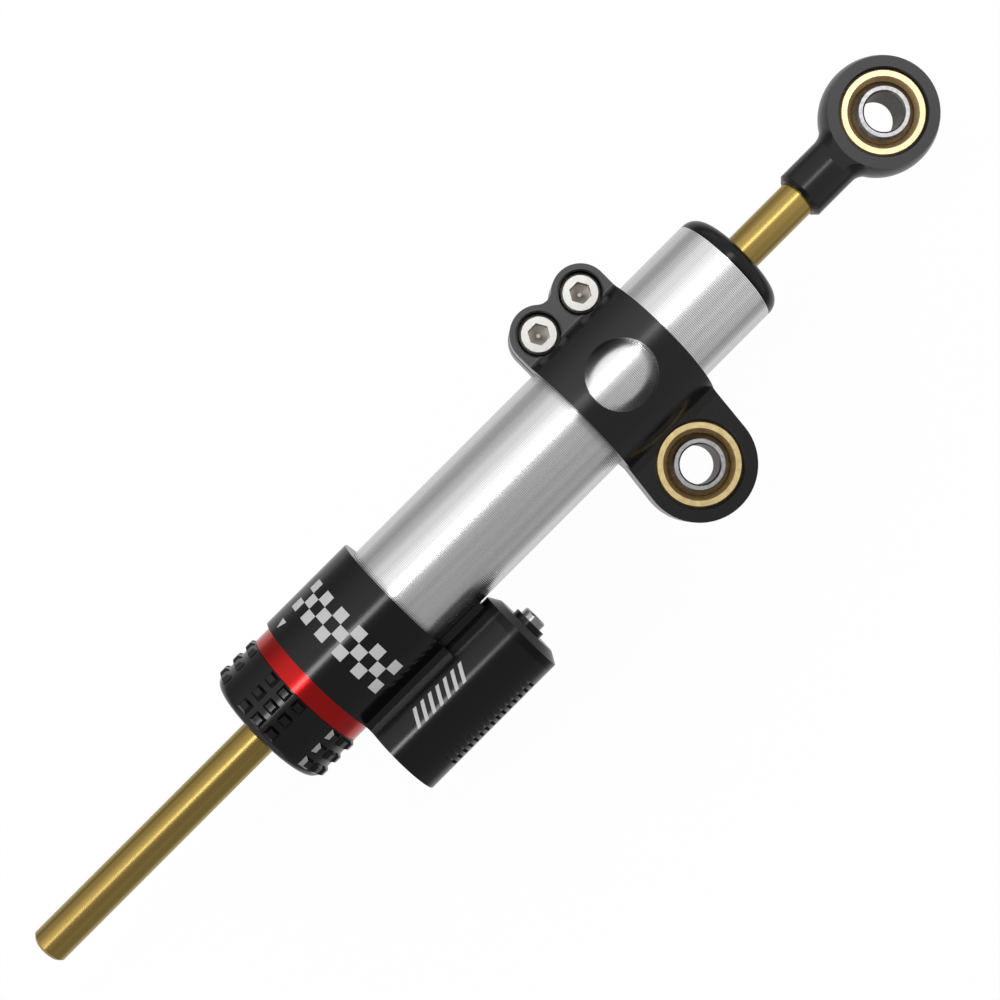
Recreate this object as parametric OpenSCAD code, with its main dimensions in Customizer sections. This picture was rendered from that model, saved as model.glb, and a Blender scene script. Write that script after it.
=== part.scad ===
// Motorcycle steering damper with a through rod, a clamp mount and a side reservoir.
// Lengths are in millimetres. The origin is the centre of the frame eye's ball,
// +X runs along the damper towards the rod end and +Z along the eye's bore.

/* [Rod] */
// Diameter of the rod
rod_d = 10; // [9:0.5:11]
// Rod left bare between the top cap and the rod end
rod_bare_top = 21.7; // [16:0.1:40]
// Rod left bare below the knob
rod_bare_low = 77.2; // [70:0.1:110]
// Chamfer on the rod's free tip
rod_tip_chamfer = 0.8; // [0.2:0.1:2]
// Diameter of the stud that screws into the rod end
stud_d = 8; // [6:0.5:8.5]
// Length of that stud
stud_len = 12; // [8:0.5:12.5]

/* [Piston and stroke] */
// Travel of the rod from its place here towards the rod end
travel_out = 65; // [40:1:66]
// Travel of the rod from its place here towards the free tip
travel_in = 10; // [5:1:12]
// Length of the piston
piston_len = 10; // [8:0.5:12]
// Width of the piston's sealing ring
piston_ring_w = 4; // [3:0.5:5]
// Depth of the groove for the piston's sealing ring
piston_groove_deep = 1.7; // [1.2:0.1:2]
// Thickness of the clips that hold the piston on the rod
clip_t = 1; // [0.8:0.1:1.2]
// Depth of the clip grooves in the rod
clip_groove_deep = 0.6; // [0.4:0.1:0.8]
// How far the clips stand out of the rod
clip_proud = 1.2; // [0.8:0.1:1.5]
// Room left between the piston and the guides at the end of the travel
end_room = 1.5; // [1.3:0.1:3]

/* [Tubes] */
// Outer diameter of the outer tube
tube_d = 31; // [30:0.5:33]
// Wall of the outer tube
tube_wall = 2; // [1.5:0.1:2.4]
// Visible length of the outer tube, from the housing to the top cap
tube_show = 116.2; // [112:0.1:140]
// Length of the tube held inside the housing
tube_seat = 10; // [6:0.5:11]
// Distance from the frame eye's centre to the tube's upper end
eye_to_tube_top = 39.3; // [30:0.1:60]
// Inner diameter of the inner cylinder
cylinder_bore = 20; // [19:0.5:21]
// Wall of the inner cylinder
cylinder_wall = 1.5; // [1:0.1:1.8]
// Length of the inner cylinder that slips over each guide
cylinder_lap = 3; // [2:0.5:4]
// Diameter of the oil ports at the top of the inner cylinder
port_d = 2; // [1.5:0.1:2.2]

/* [Top cap and guide] */
// Visible length of the top cap
cap_len = 4.6; // [4.5:0.1:8]
// Length of the top cap's skirt inside the tube
cap_skirt = 5; // [3:0.1:7]
// Rounding of the top cap's rim
cap_round = 4; // [2:0.1:4.4]
// Length of the top guide
top_guide_len = 13; // [12:0.5:15]
// Wall of the bushings
bushing_wall = 1; // [0.8:0.1:1.2]
// Length of the bushings
bushing_len = 8; // [6:0.5:8.5]
// Outer diameter of the rod seals and wipers
seal_d = 15; // [14:0.5:15.5]
// Thickness of a rod seal
seal_t = 3; // [2:0.25:3.5]
// Thickness of a rod wiper
wiper_t = 2.5; // [2:0.25:3]
// Diameter of the rod hole in the top cap and knob
rod_hole_d = 11; // [10.8:0.1:11.4]
// Section of the O-rings
o_ring_t = 1.8; // [1.4:0.1:2]

/* [Housing] */
// Outer diameter of the housing
housing_d = 37.5; // [36.5:0.5:41]
// Length of the housing along the damper
housing_len = 27.5; // [27:0.1:34]
// Diameter of the valve chamber inside the housing
chamber_d = 27; // [26.5:0.5:28]
// Length of the valve chamber
chamber_len = 10; // [9:0.1:10.4]
// Radius of the fillet between the housing and the reservoir
valley_r = 3; // [2:0.5:5]
// Diameter of the oil passage to the reservoir
passage_d = 3; // [2:0.5:4]
// Distance of the housing's O-ring groove from the housing's top
housing_groove_in = 2; // [1.5:0.1:3]

/* [Reservoir] */
// Outer diameter of the reservoir
reservoir_d = 24.2; // [23.5:0.1:26]
// Distance between the reservoir's axis and the damper's axis
reservoir_off = 27.9; // [27.4:0.1:30]
// Wall of the reservoir
reservoir_wall = 2.4; // [2:0.1:3]
// Length of the reservoir's body
reservoir_len = 41.3; // [40:0.1:52]
// Length of the rim of the reservoir's cap
reservoir_cap_rim = 2.2; // [1.5:0.1:4]
// Width of the chamfer on the reservoir's cap, across the axis
cap_bevel_w = 3.1; // [2:0.1:4]
// Length of the chamfer on the reservoir's cap, along the axis
cap_bevel_len = 1.8; // [1:0.1:2.5]
// Length of the reservoir cap's spigot
cap_spigot = 6; // [5:0.5:8]
// Number of grip grooves on the reservoir
grip_count = 15; // [9:1:15]
// Distance from one grip groove to the next
grip_pitch = 1.93; // [1.6:0.01:2]
// Distance of the first grip groove from the housing's lower end
grip_start = 8.9; // [8:0.1:12]
// Width of a grip groove
grip_w = 0.8; // [0.6:0.1:1]
// Depth of a grip groove
grip_deep = 0.7; // [0.4:0.1:0.9]
// How far the grip grooves reach in from the reservoir's side
grip_reach = 4; // [3:0.5:6]
// Height above the middle plane at which the grip grooves start
grip_rise = 3.5; // [1:0.5:5]
// Half height of the reservoir's saddle against the tube
saddle_h = 5; // [3:0.5:7]
// Gap between that saddle and the tube
saddle_gap = 0.15; // [0.1:0.05:0.3]
// Length of the floating piston
float_len = 9; // [7:0.5:10]
// Travel of the floating piston each way
float_travel = 4; // [3:0.5:5]

/* [Fill screw] */
// Thread diameter of the fill screw
fill_d = 4; // [3:0.5:5]
// Length of the fill screw's shank
fill_len = 6; // [4.5:0.5:7]
// Diameter of the fill screw's head
fill_head_d = 6.5; // [6:0.1:8]
// Height of the fill screw's head
fill_head_t = 2; // [1.7:0.1:2.5]
// Hexagon size of the fill screw
fill_hex = 2.5; // [2:0.1:3]
// Depth of the fill screw's hexagon
fill_hex_deep = 1.2; // [0.8:0.1:1.3]
// Outer diameter of the sealing washer
washer_d = 9.1; // [8.8:0.1:11]
// Thickness of the sealing washer
washer_t = 1.5; // [1:0.1:2]

/* [Adjuster] */
// Outer diameter of the red ring
ring_d = 35; // [34:0.5:36.5]
// Visible length of the red ring
ring_len = 5.2; // [5:0.1:7]
// Length of the red ring's spigot in the housing
ring_spigot_len = 5; // [4:0.1:5]
// Outer diameter of the red ring's spigot
ring_spigot_d = 29; // [28.5:0.5:30]
// Diameter of the knob between its lugs
knob_d = 35; // [34:0.5:36.5]
// Length of the knob
knob_len = 14.2; // [14:0.1:18]
// Rounding of the knob's outer end
knob_round = 2.6; // [1.5:0.1:3]
// Height of the knob's lugs
lug_h = 0.9; // [0.5:0.05:1.5]
// Length of a lug along the knob at its foot
lug_len = 3; // [2:0.1:3.4]
// Width of a lug round the knob at its foot
lug_w = 3.2; // [2:0.1:3.6]
// Slope of the lugs' sides, as run across the lug's height
lug_slope = 0.7; // [0.2:0.1:0.8]
// Rings of lugs along the knob
lug_rings = 3; // [2:1:3]
// Distance from one ring of lugs to the next
lug_pitch = 4.5; // [3.8:0.1:4.5]
// Distance of the first ring of lugs from the knob's inner face
lug_first = 1.7; // [1.6:0.1:2.2]
// Patches of lugs round the knob
patch_count = 5; // [3:1:5]
// Rows of lugs in a patch
patch_rows = 3; // [2:1:3]
// Angle from one row of lugs to the next
row_step = 15.5; // [13:0.5:17]
// Angle of the first patch from the camera side
patch_turn = 10.6; // [0:0.2:40]
// Outer diameter of the valve sleeve
sleeve_d = 14; // [13.5:0.1:14.5]
// Length of the valve sleeve inside the knob
sleeve_lap = 7; // [6:0.5:7.5]
// Diameter of the rotary valve's disc
disc_d = 22; // [21:0.5:23]
// Thickness of the rotary valve's disc
disc_t = 3; // [2.5:0.1:4]
// Ports in the rotary valve's disc
disc_ports = 6; // [4:1:6]
// Smallest port of the rotary valve
disc_port_min = 1; // [0.6:0.1:1.2]
// Largest port of the rotary valve
disc_port_max = 2; // [1.4:0.1:2]
// Radius of the circle of ports
disc_port_r = 8.3; // [8.2:0.1:8.6]
// Thread diameter of the knob's grub screws
grub_d = 3; // [2:0.5:3]
// Length of the knob's grub screws
grub_len = 6; // [4:0.5:8]
// Diameter of the detent ball
detent_d = 3; // [2.5:0.25:3.5]
// Radius of the detent ball's track
detent_r = 11.5; // [11:0.25:12]
// Depth of the pocket for the detent spring
detent_deep = 6; // [5:0.5:6.5]

/* [Clamp] */
// Wall of the clamp's band
band_wall = 3.8; // [3:0.1:4]
// Distance from the frame eye's centre to the band's middle, along the tube
band_shift = 1.4; // [0:0.1:3]
// Thickness of the clamp's two flanges together
flange_t = 19.4; // [18.5:0.1:22]
// Width of the slit between the flanges
slit_w = 2.4; // [1:0.1:3]
// Distance of the clamp screws from the tube's axis
screw_off = 21.4; // [21.2:0.1:24]
// Distance between the two clamp screws
screw_gap = 14.5; // [13.5:0.1:16]
// Radius of the lobes round the clamp screws
lobe_r = 7.3; // [7:0.1:7.7]
// Radius of the notch between the lobes
notch_r = 3.5; // [2.5:0.5:6]
// Diameter of the window in the band
window_d = 18; // [10:0.5:20]
// Distance of the window from the band's middle, along the tube
window_shift = -0.7; // [-2:0.1:2]
// Distance of the frame eye's centre from the tube's axis
eye_off = 29.6; // [29:0.1:36]
// Radius of the clamp's eye
eye_r = 14.6; // [14:0.1:16]
// Thickness of the clamp's eye
eye_t = 12; // [11.5:0.1:14]
// Radius of the fillet where the eye's plate meets the band
web_fillet = 3; // [1.5:0.5:4]
// Radius of the fillet where the flanges meet the band
flange_fillet = 1.5; // [1:0.5:3]
// Chamfer at the mouths of the clamp's holes
hole_bevel = 0.4; // [0.2:0.1:0.6]

/* [Clamp screws] */
// Thread diameter of a clamp screw
screw_d = 6; // [5:0.5:6]
// Head diameter of a clamp screw
screw_head_d = 10; // [9.5:0.1:10.2]
// Head height of a clamp screw
screw_head_t = 6; // [5:0.1:6.2]
// Shank length of a clamp screw
screw_len = 12; // [10:0.5:12.5]
// Hexagon size of a clamp screw
screw_hex = 5; // [4:0.1:5.5]
// Depth of a clamp screw's hexagon
screw_hex_deep = 3.2; // [2:0.1:3.5]
// Diameter of the counterbore for a screw head
counterbore_d = 11; // [10.6:0.1:11.2]
// How far a screw head lies below the flange's face
head_sunk = 0.2; // [0:0.1:0.5]

/* [Spherical bearings] */
// Bore of the balls
ball_bore = 10; // [9.5:0.1:10.4]
// Width of the balls
ball_w = 12.7; // [12.2:0.1:13]
// Diameter of the balls
ball_d = 18; // [17.6:0.1:18.4]
// Bevel at the mouths of a ball's bore
ball_bevel = 0.45; // [0.2:0.05:0.6]
// Outer diameter of the races
race_d = 22; // [21.5:0.1:22.5]
// Width of the races
race_w = 11; // [10:0.1:11.4]
// Opening of the races at their faces
race_mouth_d = 18.2; // [16.4:0.1:18.4]
// Depth of the bevel inside a race's face
race_mouth_deep = 1.2; // [0.6:0.1:1.4]
// Bevel round the outside of a race
race_bevel = 0.5; // [0.3:0.1:0.8]

/* [Rod end] */
// Distance from the shank's end to the eye's centre
rod_end_len = 29; // [28:0.1:34]
// Diameter of the rod end's shank
shank_d = 13.6; // [12.8:0.1:14.5]
// Chamfer on the shank's end
shank_chamfer = 1; // [0.5:0.1:1.5]
// Radius of the rod end's eye at its middle
rod_eye_r = 15.15; // [15:0.05:16.5]
// Radius of the rod end's flat faces
rod_eye_face_r = 14.1; // [13.5:0.1:14.4]
// Thickness of the rod end's eye
rod_eye_t = 12; // [11.5:0.1:13]
// Radius of the fillet between the shank and the eye
neck_fillet = 5; // [3:0.5:7]
// Radius of the flats milled round the rod end's eye
rod_flat_r = 17.9; // [16.5:0.1:19]

/* [Fits] */
// Radial gap of parts that slide or turn
run = 0.05; // [0.03:0.01:0.08]
// Radial gap of parts that are fixed in a seat
seat = 0.03; // [0.02:0.01:0.05]
// Gap between the faces of parts that turn or slide past each other
face_gap = 0.15; // [0.1:0.05:0.2]

/* [Hidden] */

// Finish colours
black_anodised = [0.09, 0.09, 0.10];
bare_aluminium = [0.78, 0.79, 0.80];
steel = [0.70, 0.70, 0.72];
gold = [0.66, 0.56, 0.22];
red_anodised = [0.72, 0.10, 0.11];
brass_colour = [0.80, 0.68, 0.36];
seal_black = [0.05, 0.05, 0.05];
bronze = [0.60, 0.42, 0.20];
white_plastic = [0.90, 0.90, 0.86];

// Facets of round parts when they are drawn as a mesh
round_fn = 96;
small_fn = 48;
// Overlap that makes one cut or join run past the next
eps = 0.01;
// Steps of an arc in an outline
arc_steps = 10;

// Radii
rod_r = rod_d / 2;
tube_r = tube_d / 2;
tube_bore_r = tube_r - tube_wall;
cylinder_r = cylinder_bore / 2;
cylinder_out_r = cylinder_r + cylinder_wall;
housing_r = housing_d / 2;
reservoir_r = reservoir_d / 2;
reservoir_bore_r = reservoir_r - reservoir_wall;
chamber_r = chamber_d / 2;
seal_r = seal_d / 2;
rod_hole_r = rod_hole_d / 2;
bushing_r = rod_r + run + bushing_wall;
band_r = tube_r + band_wall;
knob_r = knob_d / 2;
sleeve_r = sleeve_d / 2;
ball_r = ball_d / 2;
race_r = race_d / 2;
shank_r = shank_d / 2;
piston_r = cylinder_r - 6 * run;

// Stations along X
tube_top_x = eye_to_tube_top;
cap_end_x = tube_top_x + cap_len;
shank_x = cap_end_x + rod_bare_top;
fork_eye_x = shank_x + rod_end_len;
housing_top_x = tube_top_x - tube_show;
tube_low_x = housing_top_x - tube_seat;
housing_low_x = housing_top_x - housing_len;
ring_low_x = housing_low_x - ring_len;
knob_top_x = ring_low_x - face_gap;
knob_low_x = knob_top_x - knob_len;
rod_tip_x = knob_low_x - rod_bare_low;
ring_spigot_x = housing_low_x + ring_spigot_len;
chamber_top_x = ring_spigot_x + chamber_len;

// The chamber that the piston runs in
top_guide_x = tube_top_x - cap_skirt - top_guide_len;
piston_x = top_guide_x - end_room - travel_out - piston_len / 2;
low_guide_x = piston_x - piston_len / 2 - travel_in - end_room;

// The detent ball presses on a track in the knob's face
detent_x = ring_low_x + detent_d / 4;

// The knob's two grub screws, each between two patches of lugs
grub_x = knob_top_x - sleeve_lap / 2;
grub_angles = [for (k = [1.5, 3.5]) patch_turn + k * 360 / patch_count];

// The clamp
band_w = screw_gap + 2 * lobe_r;
band_x = band_shift;
axis_y = eye_off;
counterbore_deep = screw_head_t + head_sunk;
head_x = [band_x - screw_gap / 2, band_x + screw_gap / 2];

// The reservoir
reservoir_y = -reservoir_off;
reservoir_top_x = housing_low_x + reservoir_len;
reservoir_floor_x = housing_low_x + reservoir_wall;
reservoir_cap_x = reservoir_top_x + reservoir_cap_rim + cap_bevel_len;
float_x = (reservoir_floor_x + reservoir_top_x - cap_spigot - float_len) / 2;
passage_x = ring_spigot_x + passage_d / 2 + 0.5;

// O-ring grooves
groove_deep = o_ring_t;
groove_w = o_ring_t * 1.3;

// Points of an arc round a centre, from one angle to another
function arc(c, r, a0, a1, n = arc_steps) =
    [for (i = [0:n]) let (a = a0 + (a1 - a0) * i / n) c + r * [cos(a), sin(a)]];

// Where two circles meet, on the side that lies to the left of the way from a to b
function meet(a, ra, b, rb) =
    let (d = norm(b - a), u = (b - a) / d, k = (d * d + ra * ra - rb * rb) / (2 * d))
    a + u * k + [-u[1], u[0]] * sqrt(ra * ra - k * k);

// Angle of a point seen from a centre
function angle_of(p, c) = atan2(p[1] - c[1], p[0] - c[0]);

// Lays a shape drawn along Z along the damper instead, a distance off to the side
module on_axis(x = 0, y = 0) {
    translate([x, axis_y + y, 0]) rotate([0, 90, 0]) children();
}

// Turns a shape in that frame to an angle round the damper, from +Z towards +Y
module around(a) {
    rotate([0, 0, 180 - a]) children();
}

// A turned part, from an outline of [radius, station] points
module turned(outline, y = 0) {
    on_axis(0, y) rotate_extrude($fn = round_fn) polygon(outline);
}

// A solid round bar between two stations
module bar(x0, x1, r, y = 0) {
    on_axis(x0, y) cylinder(h = x1 - x0, r = r, $fn = round_fn);
}

// A plain ring between two stations
module collar(x0, x1, r_in, r_out, y = 0) {
    turned([[r_in, x0], [r_out, x0], [r_out, x1], [r_in, x1]], y);
}

// An O-ring that lies in a groove whose floor is at radius r
module o_ring(x, r, y = 0) {
    on_axis(x, y) rotate_extrude($fn = round_fn)
        translate([r + o_ring_t / 2, 0]) circle(r = o_ring_t / 2 - run, $fn = small_fn);
}

// The groove for an O-ring on the outside of a bar of radius r
module outer_groove(x, r, y = 0) {
    collar(x - groove_w / 2, x + groove_w / 2, r - groove_deep, r + 1, y);
}

// Holes evenly spaced on a circle round the damper's axis
module hole_circle(x0, x1, pitch_r, d, count) {
    for (i = [0:count - 1])
        on_axis(x0) rotate([0, 0, i * 360 / count]) translate([pitch_r, 0, 0])
            cylinder(h = x1 - x0, d = d, $fn = small_fn);
}

// A socket head screw: its head's top is at the origin and it points down
module socket_screw(head_d, head_t, d, len, hex, hex_deep) {
    rim = 0.06 * head_d;
    cone_deep = 0.2 * hex;
    difference() {
        union() {
            translate([0, 0, -head_t]) cylinder(h = head_t - rim, d = head_d, $fn = small_fn);
            translate([0, 0, -rim]) cylinder(h = rim, d1 = head_d, d2 = head_d - 2 * rim, $fn = small_fn);
            translate([0, 0, -head_t - len]) cylinder(h = len + eps, d = d - 2 * seat, $fn = small_fn);
        }
        translate([0, 0, -hex_deep]) cylinder(h = hex_deep + 1, d = hex / cos(30), $fn = 6);
        translate([0, 0, -hex_deep - cone_deep])
            cylinder(h = cone_deep + eps, d1 = 0.2 * hex, d2 = 0.96 * hex, $fn = small_fn);
    }
}

module outer_tube() {
    color(bare_aluminium) collar(tube_low_x, tube_top_x, tube_bore_r, tube_r);
}

// The inner cylinder slips over both guides; oil leaves it through ports at the top
module inner_cylinder() {
    port_x = top_guide_x - port_d / 2;
    color(bare_aluminium) difference() {
        collar(low_guide_x - cylinder_lap, top_guide_x + cylinder_lap, cylinder_r, cylinder_out_r);
        for (turn = [0, 90])
            translate([port_x, axis_y, 0]) rotate([turn, 0, 0])
                cylinder(h = tube_d, d = port_d, center = true, $fn = small_fn);
    }
}

module top_cap() {
    cap_in_x = tube_top_x - cap_skirt;
    skirt_r = tube_bore_r - seat;
    rim = arc([tube_r - cap_round, cap_end_x - cap_round], cap_round, 0, 90);
    color(black_anodised) difference() {
        turned(concat(
            [[rod_hole_r, cap_in_x], [skirt_r, cap_in_x], [skirt_r, tube_top_x], [tube_r, tube_top_x]],
            rim,
            [[rod_hole_r, cap_end_x]]
        ));
        bar(cap_end_x - wiper_t - face_gap, cap_end_x + 1, seal_r);
    }
}

// A rod wiper whose outer face is at a station and looks along out, +1 or -1
module wiper(face_x, out) {
    lip = 0.6;
    back_x = face_x - out * wiper_t;
    lip_x = face_x - out * lip;
    color(seal_black) turned([
        [rod_r + run, back_x], [seal_r - seat, back_x], [seal_r - seat, lip_x],
        [rod_r + 2 * lip, lip_x], [rod_r + run + lip / 2, face_x], [rod_r + run, face_x]
    ]);
}

module top_wiper() {
    wiper(cap_end_x - face_gap, 1);
}

module top_guide() {
    x0 = top_guide_x;
    x1 = x0 + top_guide_len;
    color(bare_aluminium) difference() {
        turned([
            [bushing_r + seat, x0], [cylinder_r - seat, x0], [cylinder_r - seat, x0 + cylinder_lap],
            [tube_bore_r - seat, x0 + cylinder_lap], [tube_bore_r - seat, x1],
            [bushing_r + seat, x1]
        ]);
        bar(x1 - seal_t, x1 + 1, seal_r);
        outer_groove(x0 + cylinder_lap + groove_w + 1, tube_bore_r);
    }
}

module top_guide_o_ring() {
    color(seal_black)
        o_ring(top_guide_x + cylinder_lap + groove_w + 1, tube_bore_r - groove_deep);
}

module bushing(x) {
    color(bronze) collar(x, x + bushing_len, rod_r + run, bushing_r);
}

module top_bushing() {
    bushing(top_guide_x + 1);
}

module rod_seal(x) {
    lip = 0.5;
    color(seal_black) turned([
        [rod_r + run, x], [rod_r + run + lip, x], [rod_r + run + lip, x + lip],
        [seal_r - seat - lip, x + lip], [seal_r - seat - lip, x], [seal_r - seat, x],
        [seal_r - seat, x + seal_t - run], [rod_r + run, x + seal_t - run]
    ]);
}

module top_rod_seal() {
    rod_seal(top_guide_x + top_guide_len - seal_t);
}

// Fills the sharp valley between the housing and the reservoir, on one side
module valley(side) {
    a = [0, 0];
    b = [reservoir_y, 0];
    c = side > 0 ? meet(b, reservoir_r + valley_r, a, housing_r + valley_r)
        : meet(a, housing_r + valley_r, b, reservoir_r + valley_r);
    to_a = angle_of(a, c);
    to_b = angle_of(b, c);
    bend = to_b - to_a > 180 ? to_b - 360 : to_b - to_a < -180 ? to_b + 360 : to_b;
    polygon(concat([a], arc(c, valley_r, to_a, bend), [b]));
}

// One grip groove: a shallow ring cut, kept to the reservoir's outer shoulders
module grip_groove(x) {
    side_y = axis_y + reservoir_y - reservoir_r;
    intersection() {
        collar(x, x + grip_w, reservoir_r - grip_deep, reservoir_r + 1, reservoir_y);
        for (up = [0, 1]) mirror([0, 0, up])
            translate([x - 1, side_y - 2, grip_rise]) cube([grip_w + 2, grip_reach + 2, reservoir_r]);
    }
}

// The reservoir's saddle, which the tube lies in
module saddle() {
    translate([housing_low_x, axis_y + reservoir_y, -saddle_h])
        cube([reservoir_len, reservoir_off - tube_r / 2, 2 * saddle_h]);
}

// Housing and reservoir are one machined piece
module valve_housing() {
    grip_x = housing_low_x + grip_start;
    color(black_anodised) difference() {
        union() {
            bar(housing_low_x, housing_top_x, housing_r);
            bar(housing_low_x, reservoir_top_x, reservoir_r, reservoir_y);
            for (side = [-1, 1])
                translate([housing_low_x, axis_y, 0]) rotate([90, 0, 90])
                    linear_extrude(height = housing_len) valley(side);
            saddle();
        }
        bar(housing_top_x, reservoir_top_x + 1, tube_r + saddle_gap);
        bar(chamber_top_x, housing_top_x + 1, tube_r + seat);
        bar(ring_spigot_x - eps, chamber_top_x + eps, chamber_r);
        bar(housing_low_x - 1, ring_spigot_x, ring_spigot_d / 2);
        bar(reservoir_floor_x, reservoir_top_x + 1, reservoir_bore_r, reservoir_y);
        translate([passage_x, axis_y - chamber_r + 1, 0]) rotate([90, 0, 0])
            cylinder(h = reservoir_off - chamber_r - reservoir_bore_r + 2, d = passage_d, $fn = small_fn);
        collar(
            housing_top_x - housing_groove_in - groove_w, housing_top_x - housing_groove_in,
            tube_r - 1, tube_r + groove_deep
        );
        for (i = [0:grip_count - 1]) grip_groove(grip_x + i * grip_pitch - grip_w / 2);
    }
}

module housing_o_ring() {
    color(seal_black) o_ring(housing_top_x - housing_groove_in - groove_w / 2, tube_r);
}

// The lower guide closes the inner cylinder; its flange is held between tube and housing
module lower_guide() {
    x1 = low_guide_x;
    neck_r = cylinder_out_r - 0.2;
    color(bare_aluminium) difference() {
        turned([
            [bushing_r + seat, chamber_top_x], [tube_r, chamber_top_x], [tube_r, tube_low_x],
            [neck_r, tube_low_x], [neck_r, x1 - cylinder_lap], [cylinder_r - seat, x1 - cylinder_lap],
            [cylinder_r - seat, x1], [bushing_r + seat, x1]
        ]);
        hole_circle(chamber_top_x - 1, x1 + 1, disc_port_r, disc_port_max, disc_ports);
        hole_circle(
            chamber_top_x - 1, tube_low_x + 1,
            (neck_r + tube_bore_r) / 2, tube_bore_r - neck_r - 0.3, 2 * disc_ports
        );
    }
}

module lower_bushing() {
    bushing(low_guide_x - bushing_len - 1);
}

module retaining_ring() {
    color(red_anodised) difference() {
        turned([
            [sleeve_r + run, ring_low_x], [ring_d / 2, ring_low_x], [ring_d / 2, housing_low_x],
            [ring_spigot_d / 2 - seat, housing_low_x], [ring_spigot_d / 2 - seat, ring_spigot_x],
            [sleeve_r + run, ring_spigot_x]
        ]);
        collar(
            housing_low_x - groove_w / 2, housing_low_x + groove_w / 2,
            sleeve_r - 1, sleeve_r + run + groove_deep
        );
        on_axis(ring_low_x - 1) around(0) translate([detent_r, 0, 0])
            cylinder(h = detent_deep + 1, d = detent_d + 4 * run, $fn = small_fn);
    }
}

module sleeve_o_ring() {
    color(seal_black) o_ring(housing_low_x, sleeve_r + run);
}

module detent_ball() {
    color(steel) on_axis(detent_x) around(0) translate([detent_r, 0, 0])
        sphere(d = detent_d, $fn = small_fn);
}

// Points of a coil spring's wire, as rings round its centre line
module coil(r, wire_r, height, turns) {
    per_turn = 16;
    sides = 6;
    n = per_turn * turns;
    function ring(i) = let (a = i * 360 / per_turn, z = height * i / n)
        [for (j = [0:sides - 1]) let (b = j * 360 / sides, q = r + wire_r * cos(b))
            [q * cos(a), q * sin(a), z + wire_r * sin(b)]];
    points = [for (i = [0:n]) each ring(i)];
    walls = [for (i = [0:n - 1], j = [0:sides - 1])
        let (a = i * sides + j, b = i * sides + (j + 1) % sides)
        each [[a, b, b + sides], [a, b + sides, a + sides]]];
    ends = [for (j = [1:sides - 2]) each [[0, j + 1, j], [n * sides, n * sides + j, n * sides + j + 1]]];
    polyhedron(points = points, faces = concat(walls, ends));
}

module detent_spring() {
    wire_r = 0.2;
    coil_r = detent_d / 2 - wire_r - 2 * run;
    x0 = detent_x + sqrt(pow(detent_d / 2 + wire_r + run, 2) - coil_r * coil_r);
    x1 = ring_low_x + detent_deep - wire_r - run;
    color(steel) on_axis(x0) around(0) translate([detent_r, 0, 0])
        coil(coil_r, wire_r, x1 - x0, 4);
}

module reservoir_cap() {
    rim_x = reservoir_top_x + reservoir_cap_rim;
    spigot_x = reservoir_top_x - cap_spigot;
    color(black_anodised) difference() {
        turned([
            [0, spigot_x], [reservoir_bore_r - seat, spigot_x], [reservoir_bore_r - seat, reservoir_top_x],
            [reservoir_r, reservoir_top_x], [reservoir_r, rim_x],
            [reservoir_r - cap_bevel_w, reservoir_cap_x], [0, reservoir_cap_x]
        ], reservoir_y);
        bar(spigot_x - 1, reservoir_cap_x + 1, fill_d / 2, reservoir_y);
        outer_groove(reservoir_top_x - cap_spigot / 2, reservoir_bore_r, reservoir_y);
    }
}

module reservoir_cap_o_ring() {
    color(seal_black)
        o_ring(reservoir_top_x - cap_spigot / 2, reservoir_bore_r - groove_deep, reservoir_y);
}

module fill_washer() {
    color(black_anodised)
        collar(reservoir_cap_x, reservoir_cap_x + washer_t, fill_d / 2 + seat, washer_d / 2, reservoir_y);
}

module fill_screw() {
    color(steel) on_axis(reservoir_cap_x + washer_t + fill_head_t, reservoir_y)
        socket_screw(fill_head_d, fill_head_t, fill_d, fill_len, fill_hex, fill_hex_deep);
}

module floating_piston() {
    color(bare_aluminium) difference() {
        turned([
            [0, float_x], [reservoir_bore_r - run, float_x],
            [reservoir_bore_r - run, float_x + float_len], [0, float_x + float_len]
        ], reservoir_y);
        bar(float_x + float_len / 2 + groove_w, float_x + float_len + 1, reservoir_bore_r / 2, reservoir_y);
        outer_groove(float_x + float_len / 2, reservoir_bore_r, reservoir_y);
    }
}

module floating_piston_o_ring() {
    color(seal_black) o_ring(float_x + float_len / 2, reservoir_bore_r - groove_deep, reservoir_y);
}

// The clamp's lobes round its two screws, down to the band
module flange_outline() {
    a = [head_x[0], axis_y + screw_off];
    b = [head_x[1], axis_y + screw_off];
    n = meet(a, lobe_r + notch_r, b, lobe_r + notch_r);
    for (p = [a, b]) translate(p) circle(r = lobe_r, $fn = round_fn);
    polygon(concat([a], arc(n, notch_r, angle_of(a, n), angle_of(b, n)), [b]));
    translate([band_x - band_w / 2, axis_y]) square([band_w, screw_off]);
}

// Where a line from p touches the circle of the clamp's eye, on one side
function eye_touch(p, side) =
    let (a = angle_of(p, [0, 0]) + side * acos(eye_r / norm(p))) eye_r * [cos(a), sin(a)];

// The clamp's eye and the plate that carries it
module eye_outline() {
    root_y = axis_y - tube_r - 1;
    left = [band_x - band_w / 2, root_y];
    right = [band_x + band_w / 2, root_y];
    circle(r = eye_r, $fn = round_fn);
    polygon([left, eye_touch(left, 1), [0, 0], eye_touch(right, -1), right]);
}

// Section of a fillet between the band and a face that is h above the middle plane
module fillet_section(h, f) {
    c = [sqrt(pow(band_r + f, 2) - pow(h + f, 2)), h + f];
    root = [tube_r + 1, h - 1];
    polygon(concat([root, [c[0], h - 1]], arc(c, f, 270, 180 + angle_of(c, [0, 0]))));
}

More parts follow.
